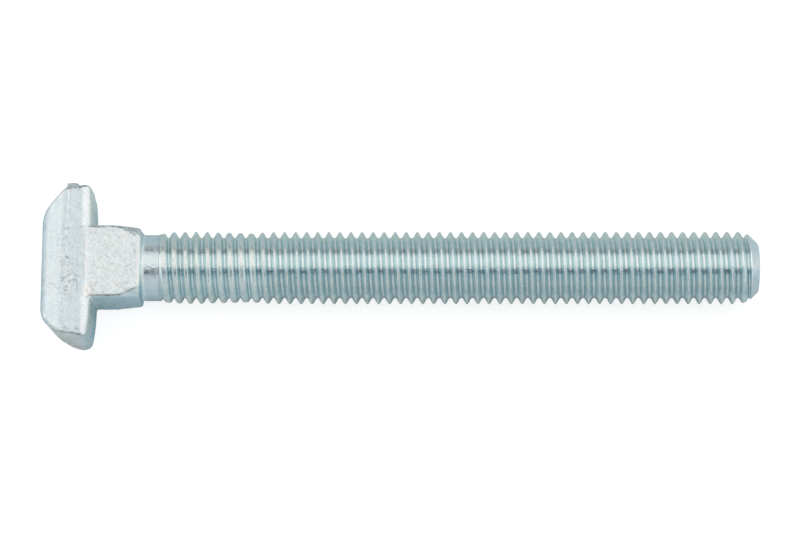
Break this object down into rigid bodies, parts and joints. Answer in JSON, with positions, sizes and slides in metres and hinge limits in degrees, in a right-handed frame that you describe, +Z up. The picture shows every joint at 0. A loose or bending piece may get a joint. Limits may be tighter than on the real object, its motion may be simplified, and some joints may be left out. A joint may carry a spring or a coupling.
{
  "type": "hammer head bolt",
  "caption": "Zinc-plated T-head bolt with a bevelled rectangular head, square neck, short plain shank, long metric thread and chamfered point.",
  "frame": {"origin": "on the bolt's axis, in the plane of the bearing face under the head", "axes": "+X along the bolt's axis towards the threaded point, +Y along the long side of the head, +Z up, out of the head's flat side as the bolt lies"},
  "size_m": [0.0969, 0.0215, 0.0102],
  "materials": {
    "zinc_plate": "bright blue-white zinc plating on forged and rolled steel"
  },
  "bodies": {
    "root": {"bolt": "zinc_plate"}
  },
  "joints": []
}
